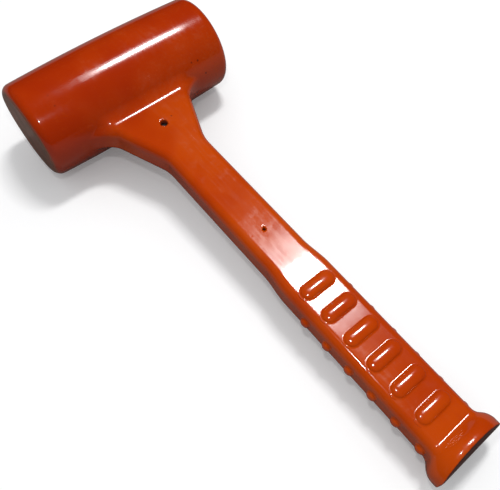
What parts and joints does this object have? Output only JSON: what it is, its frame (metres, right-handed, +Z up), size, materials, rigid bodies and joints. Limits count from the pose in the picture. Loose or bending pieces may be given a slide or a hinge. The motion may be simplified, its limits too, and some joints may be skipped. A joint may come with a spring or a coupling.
{
  "type": "dead blow mallet",
  "caption": "One-piece moulded urethane dead blow mallet: cylindrical head with two soft striking faces, steel shot inside, flat ribbed grip and a flanged butt.",
  "frame": {"origin": "on the bench under the middle of the mallet, which lies on the back of its head and the back edge of its butt flange, with the grip bars of its front facing up", "axes": "+X along the head axis through both striking faces, -Y along the handle towards the butt, +Z up out of the handle's front; the handle drops towards the butt by the small angle at which it rests"},
  "size_m": [0.119, 0.3004, 0.057],
  "materials": {
    "urethane": "glossy moulded orange polyurethane",
    "canister_steel": "drawn steel tube with a light oil film",
    "weld": "dull weld bead",
    "shot_steel": "tumbled steel shot"
  },
  "bodies": {
    "mallet": {"urethane_skin": "urethane", "canister_tube": "canister_steel", "end_cap_left": "canister_steel", "end_cap_right": "canister_steel", "cap_weld_left": "weld", "cap_weld_right": "weld", "handle_rod": "canister_steel", "rod_weld": "weld"},
    "shot_charge": {"shot_layer_01": "shot_steel", "shot_layer_02": "shot_steel", "shot_layer_03": "shot_steel", "shot_layer_04": "shot_steel", "shot_layer_05": "shot_steel", "shot_layer_06": "shot_steel", "shot_layer_07": "shot_steel", "shot_layer_08": "shot_steel", "shot_layer_09": "shot_steel", "shot_layer_10": "shot_steel", "shot_layer_11": "shot_steel", "shot_layer_12": "shot_steel"}
  },
  "joints": [
    {"name": "shot_slide", "type": "slide", "parent": "mallet", "child": "shot_charge", "axis": [1, 0, 0], "range_m": [-0.0095, 0.0095]}
  ]
}
